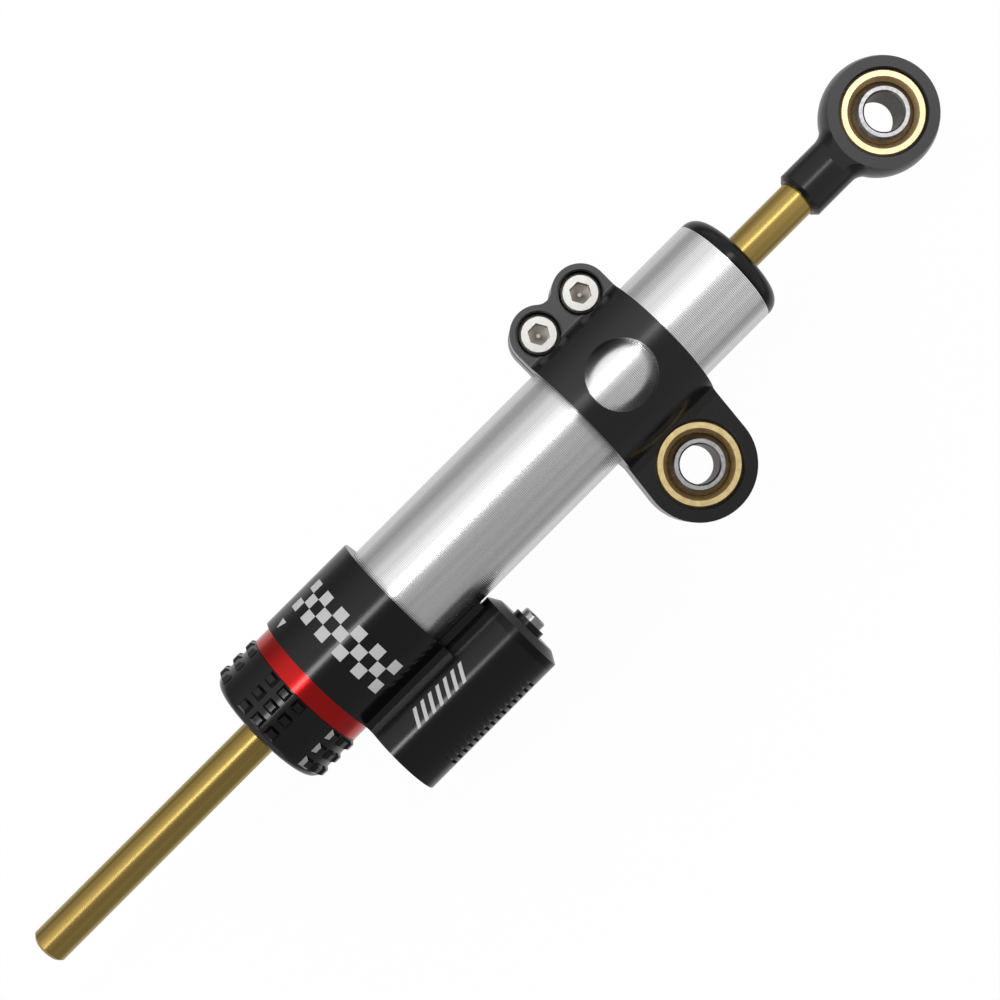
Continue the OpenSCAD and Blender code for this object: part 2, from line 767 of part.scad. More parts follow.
// That fillet along the band, above and below; side is +1 at the flanges, -1 at the eye
module band_fillet(h, f, side) {
    for (up = [0, 1])
        translate([band_x - band_w / 2, axis_y, 0]) mirror([0, side < 0 ? 1 : 0, 0])
            mirror([0, 0, up]) rotate([90, 0, 90]) linear_extrude(height = band_w)
                fillet_section(h, f);
}

module mount_clamp() {
    x0 = band_x - band_w / 2;
    x1 = band_x + band_w / 2;
    color(black_anodised) difference() {
        union() {
            bar(x0, x1, band_r);
            linear_extrude(height = flange_t, center = true) flange_outline();
            linear_extrude(height = eye_t, center = true) eye_outline();
            band_fillet(flange_t / 2, flange_fillet, 1);
            intersection() {
                band_fillet(eye_t / 2, web_fillet, -1);
                linear_extrude(height = band_r, center = true) eye_outline();
            }
        }
        bar(x0 - 1, x1 + 1, tube_r + seat);
        translate([x0 - 1, axis_y, -slit_w / 2]) cube([band_w + 2, screw_off + lobe_r + 1, slit_w]);
        translate([band_x + window_shift, axis_y, 0]) cylinder(h = band_r + 1, d = window_d, $fn = round_fn);
        for (x = head_x) translate([x, axis_y + screw_off, 0]) {
            translate([0, 0, -flange_t / 2 - 1]) cylinder(h = flange_t, d = screw_d, $fn = small_fn);
            cylinder(h = flange_t, d = screw_d + 8 * run, $fn = small_fn);
            translate([0, 0, flange_t / 2 - counterbore_deep])
                cylinder(h = counterbore_deep + 1, d = counterbore_d, $fn = small_fn);
            translate([0, 0, flange_t / 2 - hole_bevel])
                cylinder(h = hole_bevel + eps, d1 = counterbore_d, d2 = counterbore_d + 2 * hole_bevel,
                    $fn = small_fn);
        }
        race_seat(eye_t);
    }
}

// The seat for a race, through an eye of thickness t, with bevelled mouths
module race_seat(t) {
    r = race_r + seat;
    cylinder(h = t + 2, r = r, center = true, $fn = round_fn);
    for (up = [0, 1]) mirror([0, 0, up]) translate([0, 0, t / 2 - hole_bevel])
        cylinder(h = hole_bevel + eps, r1 = r, r2 = r + hole_bevel, $fn = round_fn);
}

module clamp_screws() {
    color(steel) for (x = head_x)
        translate([x, axis_y + screw_off, flange_t / 2 - head_sunk])
            socket_screw(screw_head_d, screw_head_t, screw_d, screw_len, screw_hex, screw_hex_deep);
}

// The outer ring of a spherical bearing
module race() {
    h = race_w / 2;
    cup_r = ball_r + run;
    mouth_r = race_mouth_d / 2;
    bevel_in = 1.4 * (mouth_r - sqrt(cup_r * cup_r - pow(h - race_mouth_deep, 2)));
    bevel_z = h - 1.4 * race_mouth_deep;
    color(brass_colour) difference() {
        rotate_extrude($fn = round_fn) polygon([
            [mouth_r - bevel_in, -bevel_z], [mouth_r, -h], [race_r - race_bevel, -h],
            [race_r, -h + race_bevel],
            [race_r, h - race_bevel], [race_r - race_bevel, h], [mouth_r, h],
            [mouth_r - bevel_in, bevel_z]
        ]);
        sphere(r = cup_r, $fn = round_fn);
    }
}

// The ball of a spherical bearing, with its bore and bevels
module ball() {
    color(steel) difference() {
        intersection() {
            sphere(r = ball_r, $fn = round_fn);
            cylinder(h = ball_w, r = ball_r + 1, center = true, $fn = round_fn);
        }
        cylinder(h = ball_w + 2, d = ball_bore, center = true, $fn = round_fn);
        for (up = [0, 1]) mirror([0, 0, up]) translate([0, 0, ball_w / 2 - ball_bevel])
            cylinder(h = ball_bevel + eps, d1 = ball_bore, d2 = ball_bore + 2 * ball_bevel, $fn = round_fn);
    }
}

module clamp_bearing_race() {
    race();
}

module frame_ball() {
    ball();
}

module rod_end_race() {
    translate([fork_eye_x, axis_y, 0]) race();
}

module fork_ball() {
    translate([fork_eye_x, axis_y, 0]) ball();
}

// The rod, with grooves for the piston's clips and a stud for the rod end
module damper_rod() {
    floor_r = rod_r - clip_groove_deep;
    low = piston_x - piston_len / 2 - seat;
    high = piston_x + piston_len / 2 + seat;
    wide = clip_t + 2 * seat;
    color(gold) turned([
        [0, rod_tip_x], [rod_r - rod_tip_chamfer, rod_tip_x], [rod_r, rod_tip_x + rod_tip_chamfer],
        [rod_r, low - wide], [floor_r, low - wide], [floor_r, low], [rod_r, low],
        [rod_r, high], [floor_r, high], [floor_r, high + wide], [rod_r, high + wide],
        [rod_r, shank_x], [stud_d / 2, shank_x], [stud_d / 2, shank_x + stud_len],
        [0, shank_x + stud_len]
    ]);
}

module piston() {
    x0 = piston_x - piston_len / 2;
    x1 = piston_x + piston_len / 2;
    half = piston_ring_w / 2 + run;
    color(bare_aluminium) difference() {
        collar(x0, x1, rod_r + seat, piston_r);
        collar(piston_x - half, piston_x + half, piston_r - piston_groove_deep, piston_r + 1);
    }
}

module piston_ring() {
    half = piston_ring_w / 2;
    color(white_plastic) collar(
        piston_x - half, piston_x + half,
        piston_r - piston_groove_deep + run, cylinder_r - run
    );
}

module piston_clips() {
    gap = 2.5;
    color(steel) for (side = [-1, 1]) {
        mid = piston_x + side * (piston_len + clip_t + 4 * seat) / 2;
        difference() {
            collar(mid - clip_t / 2, mid + clip_t / 2, rod_r - clip_groove_deep + seat, rod_r + clip_proud);
            on_axis(mid) translate([rod_r, 0, 0]) cube([2 * rod_r, gap, 2 * clip_t], center = true);
        }
    }
}

// The rod end: shank, flared neck and barrel-shaped eye, milled flat above and below
module rod_end() {
    core_x = fork_eye_x - rod_eye_face_r + 1;
    sweep_r = shank_r + neck_fillet;
    sweep_x = fork_eye_x - sqrt(pow(rod_eye_r + neck_fillet, 2) - sweep_r * sweep_r);
    sweep_end = angle_of([0, fork_eye_x], [sweep_r, sweep_x]);
    half = rod_eye_t / 2;
    swell = rod_eye_r - rod_eye_face_r;
    side_r = (half * half + swell * swell) / (2 * swell);
    lean = asin(half / side_r);
    color(black_anodised) difference() {
        union() {
            turned(concat(
                [[0, shank_x], [shank_r - shank_chamfer, shank_x], [shank_r, shank_x + shank_chamfer]],
                arc([sweep_r, sweep_x], neck_fillet, 180, sweep_end),
                [[shank_r, core_x], [0, core_x]]
            ));
            translate([fork_eye_x, axis_y, 0]) rotate_extrude($fn = round_fn) polygon(concat(
                [[0, -half]],
                arc([rod_eye_r - side_r, 0], side_r, -lean, lean),
                [[0, half]]
            ));
        }
        for (up = [0, 1]) mirror([0, 0, up]) translate([fork_eye_x, axis_y, half])
            cylinder(h = rod_eye_r, r = rod_flat_r, $fn = round_fn);
        bar(shank_x - 1, shank_x + stud_len + 1, stud_d / 2 + seat);
        translate([fork_eye_x, axis_y, 0]) race_seat(rod_eye_t);
    }
}

// Rings of lugs as one turned shape, before the rows cut them apart
module lug_ring_profile() {
    for (k = [0:lug_rings - 1]) {
        x = knob_top_x - lug_first - k * lug_pitch;
        foot = lug_len / 2;
        top = foot - lug_slope * lug_h;
        turned([
            [knob_r - 1, x - foot], [knob_r, x - foot], [knob_r + lug_h, x - top],
            [knob_r + lug_h, x + top], [knob_r, x + foot], [knob_r - 1, x + foot]
        ]);
    }
}

// One row of lugs as a bar along the knob, wide at its foot
module lug_row(a) {
    in_r = knob_r - 1;
    out_r = knob_r + lug_h + 1;
    in_w = lug_w / 2 + lug_slope;
    out_w = lug_w / 2 - lug_slope * (lug_h + 1);
    on_axis(knob_low_x) around(a) linear_extrude(height = knob_len)
        polygon([[in_r, -in_w], [out_r, -out_w], [out_r, out_w], [in_r, in_w]]);
}

module adjuster_knob() {
    pocket = wiper_t + face_gap + seal_t;
    rim = arc([knob_r - knob_round, knob_low_x + knob_round], knob_round, 270, 360);
    color(black_anodised) difference() {
        union() {
            turned(concat([[rod_hole_r, knob_low_x]], rim, [[knob_r, knob_top_x], [rod_hole_r, knob_top_x]]));
            intersection() {
                lug_ring_profile();
                for (p = [0:patch_count - 1], q = [0:patch_rows - 1])
                    lug_row(patch_turn + p * 360 / patch_count + (q - (patch_rows - 1) / 2) * row_step);
            }
        }
        bar(knob_top_x - sleeve_lap, knob_top_x + 1, sleeve_r + seat);
        bar(knob_low_x - 1, knob_low_x + pocket, seal_r);
        on_axis(detent_x) rotate_extrude($fn = round_fn)
            translate([detent_r, 0]) circle(r = detent_d / 2 + 2 * run, $fn = small_fn);
        for (a = grub_angles) on_axis(grub_x) around(a) rotate([0, 90, 0])
            translate([0, 0, sleeve_r - 1]) cylinder(h = knob_r, d = grub_d, $fn = small_fn);
    }
}

module grub_screws() {
    color(steel) for (a = grub_angles) on_axis(grub_x) around(a) rotate([0, 90, 0])
        translate([0, 0, sleeve_r + seat]) difference() {
            cylinder(h = grub_len, d = grub_d - 2 * seat, $fn = small_fn);
            translate([0, 0, grub_len - grub_d / 2])
                cylinder(h = grub_d, d = grub_d / 2 / cos(30), $fn = 6);
        }
}

// The rotary valve: a ported disc on a tube that the knob turns
module valve_sleeve() {
    top_x = chamber_top_x - face_gap;
    low_x = knob_top_x - sleeve_lap + seat;
    color(steel) difference() {
        turned([
            [rod_hole_r, low_x], [sleeve_r, low_x], [sleeve_r, top_x - disc_t],
            [disc_d / 2, top_x - disc_t], [disc_d / 2, top_x], [rod_hole_r, top_x]
        ]);
        for (i = [0:disc_ports - 1])
            on_axis(top_x - disc_t - 1) rotate([0, 0, i * 360 / disc_ports]) translate([disc_port_r, 0, 0])
                cylinder(h = disc_t + 2, $fn = small_fn,
                    d = disc_port_min + (disc_port_max - disc_port_min) * i / (disc_ports - 1));
    }
}

module lower_rod_seal() {
    rod_seal(knob_low_x + face_gap + wiper_t);
}

module lower_wiper() {
    wiper(knob_low_x + face_gap, -1);
}

outer_tube();
inner_cylinder();
top_cap();
top_guide();
top_bushing();
top_rod_seal();
top_wiper();
top_guide_o_ring();
valve_housing();
housing_o_ring();
lower_guide();
lower_bushing();
retaining_ring();
sleeve_o_ring();
detent_spring();
detent_ball();
reservoir_cap();
reservoir_cap_o_ring();
fill_screw();
fill_washer();
mount_clamp();
clamp_screws();
clamp_bearing_race();
frame_ball();
damper_rod();
piston();
piston_clips();
piston_ring();
rod_end();
rod_end_race();
fork_ball();
adjuster_knob();
valve_sleeve();
grub_screws();
lower_rod_seal();
lower_wiper();
floating_piston();
floating_piston_o_ring();
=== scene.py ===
"""Looks, light and camera for a motorcycle steering damper with a through rod and a side reservoir."""

import math

import bmesh
import bpy
from mathutils import Matrix, Vector


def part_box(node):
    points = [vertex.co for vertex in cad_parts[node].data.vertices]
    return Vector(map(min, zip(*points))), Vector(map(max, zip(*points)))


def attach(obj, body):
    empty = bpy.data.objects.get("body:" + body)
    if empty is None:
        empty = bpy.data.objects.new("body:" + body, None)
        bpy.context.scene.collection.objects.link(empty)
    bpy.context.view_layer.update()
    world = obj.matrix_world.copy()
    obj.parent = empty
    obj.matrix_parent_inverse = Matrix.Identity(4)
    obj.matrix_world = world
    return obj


MM = 0.001
X, Y, Z = 0, 1, 2

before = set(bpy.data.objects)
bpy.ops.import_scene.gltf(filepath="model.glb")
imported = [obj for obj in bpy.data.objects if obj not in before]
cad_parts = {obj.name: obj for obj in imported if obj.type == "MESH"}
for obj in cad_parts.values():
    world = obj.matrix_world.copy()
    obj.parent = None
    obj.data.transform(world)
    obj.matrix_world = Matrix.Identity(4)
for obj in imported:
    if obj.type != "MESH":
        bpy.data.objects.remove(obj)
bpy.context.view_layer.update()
scene = bpy.context.scene


def middle(node, axis):
    low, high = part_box(node)
    return (low[axis] + high[axis]) / 2


# The damper's axis and the reservoir's, both along X, from the frame itself
AXIS_Y = middle("outer_tube", Y)
RESERVOIR_Y = middle("reservoir_cap", Y)
HOUSING_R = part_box("valve_housing")[1][Z]
RESERVOIR_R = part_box("reservoir_cap")[1][Z]
HOUSING_LOW_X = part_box("valve_housing")[0][X]


# Helpers for objects

def new_object(name, data):
    """An object in the scene for a mesh, lamp or camera."""
    obj = bpy.data.objects.new(name, data)
    scene.collection.objects.link(obj)
    return obj


def stand(obj, spot, side, up, back):
    """Puts an object at a spot, with its own X, Y and Z along three directions."""
    turn = Matrix((side, up, back)).transposed()
    obj.matrix_world = Matrix.Translation(spot) @ turn.to_4x4()


def on_round(x, angle, radius, axis_y):
    """A point on a cylinder along X; the angle is in degrees from +Z towards +Y."""
    a = math.radians(angle)
    return (x, axis_y + radius * math.sin(a), radius * math.cos(a))


# Helpers for nodes; mat is a material or a world

# Sockets of the Mix node, which has a set for each kind of data
MIX_FACTOR = 0
MIX_NUMBERS = (2, 3)
MIX_COLOURS = (6, 7)
MIX_NUMBER_OUT = 0
MIX_COLOUR_OUT = 2


def add(mat, kind, **settings):
    """A new node in a material, with its settings."""
    node = mat.node_tree.nodes.new(kind)
    for key, value in settings.items():
        setattr(node, key, value)
    return node


def link(mat, a, a_socket, b, b_socket):
    mat.node_tree.links.new(a.outputs[a_socket], b.inputs[b_socket])


def feed(mat, node, socket, source):
    """Gives an input a number or colour, or links it to a (node, output) pair."""
    if isinstance(source, tuple) and isinstance(source[0], bpy.types.Node):
        link(mat, source[0], source[1], node, socket)
    else:
        node.inputs[socket].default_value = source


def calc(mat, operation, *sources):
    """A Math node's result; each source is a number or a (node, output) pair."""
    node = add(mat, "ShaderNodeMath", operation=operation)
    for socket, source in enumerate(sources):
        feed(mat, node, socket, source)
    return node, 0


def blend(mat, kind, factor, low, high):
    """A Mix node's result, for kind FLOAT or RGBA, from low at factor 0 to high at factor 1."""
    node = add(mat, "ShaderNodeMix", data_type=kind)
    sockets, out = (MIX_NUMBERS, MIX_NUMBER_OUT) if kind == "FLOAT" else (MIX_COLOURS, MIX_COLOUR_OUT)
    for socket, source in zip((MIX_FACTOR, *sockets), (factor, low, high)):
        feed(mat, node, socket, source)
    return node, out


def span(mat, source, from_low, from_high, to_low=0.0, to_high=1.0, smooth=False):
    """A Map Range node's result: source taken from one range to another."""
    node = add(mat, "ShaderNodeMapRange", interpolation_type="SMOOTHSTEP" if smooth else "LINEAR")
    feed(mat, node, "Value", source)
    limits = {"From Min": from_low, "From Max": from_high, "To Min": to_low, "To Max": to_high}
    for socket, value in limits.items():
        node.inputs[socket].default_value = value
    return node, "Result"


def place(mat):
    """The place of a point in its object's own axes, as a (node, output) pair."""
    return add(mat, "ShaderNodeTexCoord"), "Object"


def axes(mat, where):
    """A node with the X, Y and Z of a place."""
    parts = add(mat, "ShaderNodeSeparateXYZ")
    feed(mat, parts, "Vector", where)
    return parts


def bump(mat, shader, height, distance):
    node = add(mat, "ShaderNodeBump")
    node.inputs["Distance"].default_value = distance
    feed(mat, node, "Height", height)
    link(mat, node, "Normal", shader, "Normal")


def show(mat, factor, lit, seen, output):
    """Sends a mix of two shaders to the output, from lit at factor 0 to seen at factor 1."""
    mix = add(mat, "ShaderNodeMixShader")
    feed(mat, mix, 0, factor)
    link(mat, lit, 0, mix, 1)
    link(mat, seen, 0, mix, 2)
    link(mat, mix, 0, mat.node_tree.nodes[output], "Surface")


# Helpers for materials

METAL = 1.0
# The wave texture's scale for one wave to a metre
WAVE_SCALE = 2 * math.pi / 20
# Noise cells in one pitch of the turning lines
UNEVEN_CELLS = 0.9
# The part of the noise's range that the patches use
MOTTLE_RANGE = (0.35, 0.65)


def material(name, colour, roughness, metallic=0.0, **sockets):
    """A Principled material; sockets gives more of its inputs, with _ for the spaces in their names."""
    mat = bpy.data.materials.new(name)
    mat.use_nodes = True
    shader = mat.node_tree.nodes["Principled BSDF"]
    shader.inputs["Base Color"].default_value = (*colour, 1)
    shader.inputs["Roughness"].default_value = roughness
    shader.inputs["Metallic"].default_value = metallic
    for socket, value in sockets.items():
        shader.inputs[socket.replace("_", " ")].default_value = value
    return mat


def dress(mat, *nodes):
    """Gives CAD nodes a material."""
    for node in nodes:
        for material_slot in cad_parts[node].material_slots:
            material_slot.material = mat


def turning_lines(mat, pitch, bump_height, shade, uneven_share):
    """Fine lines round the X axis, as a lathe leaves them: a bump, and colour that varies by shade."""
    shader = mat.node_tree.nodes["Principled BSDF"]
    colour = tuple(shader.inputs["Base Color"].default_value)
    where = place(mat)
    wave = add(mat, "ShaderNodeTexWave", wave_type="BANDS", bands_direction="X", wave_profile="SIN")
    wave.inputs["Scale"].default_value = WAVE_SCALE / pitch
    feed(mat, wave, "Vector", where)
    uneven = add(mat, "ShaderNodeTexNoise", noise_dimensions="1D")
    uneven.inputs["Scale"].default_value = UNEVEN_CELLS / pitch
    uneven.inputs["Detail"].default_value = 1.0
    link(mat, axes(mat, where), "X", uneven, "W")
    both = blend(mat, "FLOAT", uneven_share, (wave, "Fac"), (uneven, "Fac"))
    bump(mat, shader, both, bump_height)
    shaded = (*[c * (1 - shade) for c in colour[:3]], 1)
    feed(mat, shader, "Base Color", blend(mat, "RGBA", both, shaded, colour))


def mottle(mat, cells_x, cells_across, shade):
    """Soft darker patches, as wear and handling leave them.

    Their size is given in noise cells to a metre, so a small cells_x draws them out along X.
    """
    shader = mat.node_tree.nodes["Principled BSDF"]
    flat = add(mat, "ShaderNodeMapping")
    flat.inputs["Scale"].default_value = (cells_x, cells_across, cells_across)
    feed(mat, flat, "Vector", place(mat))
    noise = add(mat, "ShaderNodeTexNoise")
    noise.inputs["Scale"].default_value = 1.0
    noise.inputs["Detail"].default_value = 2.0
    link(mat, flat, "Vector", noise, "Vector")
    dim = span(mat, (noise, "Fac"), *MOTTLE_RANGE, 1 - shade, 1.0)
    scaled = add(mat, "ShaderNodeVectorMath", operation="SCALE")
    base = shader.inputs["Base Color"]
    if base.is_linked:
        mat.node_tree.links.new(base.links[0].from_socket, scaled.inputs[0])
    else:
        scaled.inputs[0].default_value = tuple(base.default_value)[:3]
    feed(mat, scaled, "Scale", dim)
    link(mat, scaled, 0, shader, "Base Color")


def grain(mat, cells, depth, spread):
    """A faint satin grain of noise cells to a metre: a bump, and roughness that varies by spread."""
    shader = mat.node_tree.nodes["Principled BSDF"]
    rough = shader.inputs["Roughness"].default_value
    noise = add(mat, "ShaderNodeTexNoise")
    noise.inputs["Scale"].default_value = cells
    feed(mat, noise, "Vector", place(mat))
    bump(mat, shader, (noise, "Fac"), depth)
    feed(mat, shader, "Roughness", span(mat, (noise, "Fac"), 0, 1, rough - spread, rough + spread))


def within(mat, where, node, radius):
    """1 within the radius of a node's Z axis and 0 beyond it."""
    away = add(mat, "ShaderNodeVectorMath", operation="MULTIPLY_ADD")
    away.inputs[1].default_value = (1, 1, 0)
    away.inputs[2].default_value = (-middle(node, X), -middle(node, Y), 0)
    feed(mat, away, 0, where)
    distance = add(mat, "ShaderNodeVectorMath", operation="LENGTH")
    link(mat, away, 0, distance, 0)
    return calc(mat, "LESS_THAN", (distance, "Value"), radius)


# Used for painted shade away from a node's faces and for a painted sheen on them
def face_zone(mat, node, near, colour, roughness, face=None, round_node=None, radius=0.0):
    """Gives all of a node that isn't near its two Z faces another colour and roughness.

    The faces are the ends of the node's box, or lie at face on both sides of its middle. With
    round_node, all that is farther than the radius from that node's Z axis gets the other look too.
    """
    low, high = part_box(node)
    shader = mat.node_tree.nodes["Principled BSDF"]
    where = place(mat)
    off = calc(mat, "SUBTRACT", (axes(mat, where), "Z"), middle(node, Z))
    height = calc(mat, "ABSOLUTE", off)
    share = calc(mat, "COMPARE", height, face or (high[Z] - low[Z]) / 2, near)
    if round_node:
        share = calc(mat, "MULTIPLY", share, within(mat, where, round_node, radius))
    face_colour = tuple(shader.inputs["Base Color"].default_value)
    face_roughness = shader.inputs["Roughness"].default_value
    feed(mat, shader, "Base Color", blend(mat, "RGBA", share, (*colour, 1), face_colour))
    feed(mat, shader, "Roughness", blend(mat, "FLOAT", share, roughness, face_roughness))


# Aluminium; the tube has the lathe's lines, and the pieces inside are plain

turned_aluminium = material("turned_aluminium", (0.91, 0.91, 0.915), 0.26, METAL)
turning_lines(turned_aluminium, pitch=0.437 * MM, bump_height=0.02 * MM, shade=0.24, uneven_share=0.15)
mottle(turned_aluminium, cells_x=7, cells_across=420, shade=0.12)
dress(turned_aluminium, "outer_tube")

plain_aluminium = material("plain_aluminium", (0.78, 0.79, 0.80), 0.3, METAL)
dress(plain_aluminium, "inner_cylinder", "top_guide", "lower_guide", "piston", "floating_piston")


# Black pieces

black_anodised = material("black_anodised", (0.002, 0.002, 0.0025), 0.17, Specular_IOR_Level=0.36)
grain(black_anodised, cells=3000, depth=0.0015 * MM, spread=0.04)
dress(black_anodised, "valve_housing", "fill_washer")

black_knob = material("black_knob", (0.002, 0.002, 0.0025), 0.16, Specular_IOR_Level=0.36)
dress(black_knob, "adjuster_knob")

black_cap = material("black_cap", (0.002, 0.002, 0.002), 0.20, Specular_IOR_Level=0.22)
dress(black_cap, "top_cap", "reservoir_cap")

# How far from a face's height still counts as the face
FACE_NEAR = 0.05 * MM

# The eye's flat faces get a painted sheen, a lighter colour than the rest; they lie this far off its
# middle, and end within this radius
EYE_FACE = 6.0 * MM
EYE_FACE_R = 14.15 * MM
sheen_painted_eye = material("sheen_painted_eye", (0.036, 0.036, 0.038), 0.30, Specular_IOR_Level=0.36)
face_zone(
    sheen_painted_eye, "rod_end", FACE_NEAR, (0.002, 0.002, 0.0026), 0.24,
    face=EYE_FACE, round_node="fork_ball", radius=EYE_FACE_R,
)
dress(sheen_painted_eye, "rod_end")

# The flanges' faces get the same painted sheen, round the middle between the two screws
FLANGE_FACE = 9.7 * MM
FLANGE_FACE_R = 17.0 * MM
sheen_painted_flanges = material("sheen_painted_flanges", (0.038, 0.037, 0.037), 0.30, Specular_IOR_Level=0.52)
face_zone(
    sheen_painted_flanges, "mount_clamp", FACE_NEAR, (0.003, 0.003, 0.0036), 0.23,
    face=FLANGE_FACE, round_node="clamp_screws", radius=FLANGE_FACE_R,
)
dress(sheen_painted_flanges, "mount_clamp")


# Red and gold coatings

red_anodised = material(
    "red_anodised", (0.49, 0.007, 0.007), 0.19, METAL, Coat_Weight=0.3, Coat_Roughness=0.12,
)
dress(red_anodised, "retaining_ring")

gold_coating = material("gold_coating", (0.44, 0.308, 0.092), 0.28, METAL)
mottle(gold_coating, cells_x=5, cells_across=800, shade=0.22)
dress(gold_coating, "damper_rod")


# Steel; the screws and the balls are darker away from their faces, with painted shade there

# How far below a screw head's top still counts as its face, which leaves out the socket's floor
HEAD_NEAR = 1.0 * MM
socket_steel = material("socket_steel", (0.72, 0.71, 0.68), 0.25, METAL)
# Painted shade in the socket: its floor gets a darker colour, and a rougher finish as a forged floor has
face_zone(socket_steel, "clamp_screws", HEAD_NEAR, (0.42, 0.39, 0.35), 0.35)
dress(socket_steel, "clamp_screws")

ball_steel = material("ball_steel", (0.62, 0.61, 0.62), 0.3, METAL, Specular_Tint=(0.45, 0.45, 0.45, 1))
# Painted shade: the ball is darker away from its faces, inside the race and in its bore
face_zone(ball_steel, "frame_ball", FACE_NEAR, (0.17, 0.16, 0.15), 0.3)
mottle(ball_steel, cells_x=900, cells_across=900, shade=0.25)
dress(ball_steel, "frame_ball", "fork_ball")

dark_steel = material("dark_steel", (0.40, 0.40, 0.40), 0.22, METAL)
dress(dark_steel, "fill_screw")

bright_steel = material("bright_steel", (0.72, 0.71, 0.69), 0.22, METAL)
dress(bright_steel, "detent_spring", "detent_ball", "piston_clips", "valve_sleeve", "grub_screws")


# Brass and bronze; the races' cones are darker than their faces, with painted shade where they lie round
# the balls

dull_brass = material("dull_brass", (0.84, 0.66, 0.33), 0.36, METAL)
# Painted shade: the race is darker away from its faces, round the ball
face_zone(dull_brass, "clamp_bearing_race", FACE_NEAR, (0.52, 0.35, 0.15), 0.5)
mottle(dull_brass, cells_x=650, cells_across=650, shade=0.18)
dress(dull_brass, "clamp_bearing_race")

pale_brass = material("pale_brass", (0.98, 0.83, 0.50), 0.34, METAL)
# Painted shade: the race is darker away from its faces, round the ball
face_zone(pale_brass, "rod_end_race", FACE_NEAR, (0.66, 0.46, 0.23), 0.5)
mottle(pale_brass, cells_x=650, cells_across=650, shade=0.15)
dress(pale_brass, "rod_end_race")

bronze = material("bronze", (0.55, 0.38, 0.18), 0.4, METAL)
dress(bronze, "top_bushing", "lower_bushing")


# Rubber and plastic

seal_rubber = material("seal_rubber", (0.02, 0.02, 0.02), 0.5)
dress(seal_rubber, "top_rod_seal", "top_wiper", "lower_rod_seal", "lower_wiper")
dress(seal_rubber, "top_guide_o_ring", "housing_o_ring", "sleeve_o_ring")
dress(seal_rubber, "reservoir_cap_o_ring", "floating_piston_o_ring")

white_plastic = material("white_plastic", (0.85, 0.85, 0.80), 0.5)
dress(white_plastic, "piston_ring")


# Marks etched on the housing and the reservoir

etched_grey = material("etched_grey", (0.42, 0.42, 0.42), 0.45)
MARK_PROUD = 0.02 * MM
MARK_SUNK = 0.04 * MM
MARK_STEPS = 6


def slab(patch, radius, axis_y, start):
    """Points and faces of a thin closed slab on a cylinder, for a patch of four (x, angle) corners.

    The points come in pairs, from the patch's first and last corners to its middle two, all on the
    outer level and then all on the inner one. start is the number of the first point.
    """
    a, b, c, d = patch
    points = []
    for level in (radius + MARK_PROUD, radius - MARK_SUNK):
        for i in range(MARK_STEPS + 1):
            t = i / MARK_STEPS
            for p, q in ((a, b), (d, c)):
                x = p[0] + (q[0] - p[0]) * t
                angle = p[1] + (q[1] - p[1]) * t
                points.append(on_round(x, angle, level, axis_y))
    inner = len(points) // 2
    faces = []
    for k in range(start, start + 2 * MARK_STEPS, 2):
        faces.append((k, k + 1, k + 3, k + 2))
        faces.append((k + inner, k + 2 + inner, k + 3 + inner, k + 1 + inner))
        faces.append((k, k + 2, k + 2 + inner, k + inner))
        faces.append((k + 1, k + 1 + inner, k + 3 + inner, k + 3))
    last = start + 2 * MARK_STEPS
    faces.append((start, start + inner, start + 1 + inner, start + 1))
    faces.append((last, last + 1, last + 1 + inner, last + inner))
    return points, faces


def marks(name, patches, radius, axis_y):
    """One piece made of the patches' slabs, fixed to the damper's body."""
    points = []
    faces = []
    for patch in patches:
        slab_points, slab_faces = slab(patch, radius, axis_y, len(points))
        points += slab_points
        faces += slab_faces
    mesh = bpy.data.meshes.new(name)
    mesh.from_pydata(points, [], faces)
    shell = bmesh.new()
    shell.from_mesh(mesh)
    bmesh.ops.recalc_face_normals(shell, faces=shell.faces)
    shell.to_mesh(mesh)
    shell.free()
    mesh.materials.append(etched_grey)
    obj = new_object(name, mesh)
    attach(obj, "damper_body")


# Each kind of mark starts at its own distance from the housing's end at the ring
CHEQUER_FROM = 8 * MM
INDEX_FROM = 2.0 * MM
HATCH_FROM = 9 * MM

CHEQUER_SIDE = 3.2 * MM
CHEQUER_ROWS = 3
CHEQUER_COLUMNS = 11
CHEQUER_FIRST_ANGLE = -42
# Half the space between two squares that meet at a corner
CHEQUER_GAP = 0.02 * MM


def chequer(x0, radius):
    """Every second square of a chequer, whose rows follow each other along X."""
    step = math.degrees(CHEQUER_SIDE / radius)
    gap_angle = math.degrees(CHEQUER_GAP / radius)
    patches = []
    for i in range(CHEQUER_ROWS):
        for j in range(i % 2, CHEQUER_COLUMNS, 2):
            low = x0 + i * CHEQUER_SIDE + CHEQUER_GAP
            high = x0 + (i + 1) * CHEQUER_SIDE - CHEQUER_GAP
            first = CHEQUER_FIRST_ANGLE + j * step + gap_angle
            last = CHEQUER_FIRST_ANGLE + (j + 1) * step - gap_angle
            patches.append(((low, first), (low, last), (high, last), (high, first)))
    return patches


# The index is a small triangle whose tip points at the ring
INDEX_LEN = 2.6 * MM
INDEX_ANGLE = 58
INDEX_BASE_HALF = 4
INDEX_TIP_HALF = 0.2


def index(x0):
    base_x = x0 + INDEX_LEN
    return (
        (base_x, INDEX_ANGLE - INDEX_BASE_HALF), (base_x, INDEX_ANGLE + INDEX_BASE_HALF),
        (x0, INDEX_ANGLE + INDEX_TIP_HALF), (x0, INDEX_ANGLE - INDEX_TIP_HALF),
    )


HATCH_PITCH = 2.6 * MM
HATCH_WIDTH = 1.1 * MM
HATCH_LEAN = 2.4 * MM
HATCH_COUNT = 7
HATCH_LOW_ANGLE = 8
HATCH_HIGH_ANGLE = 30


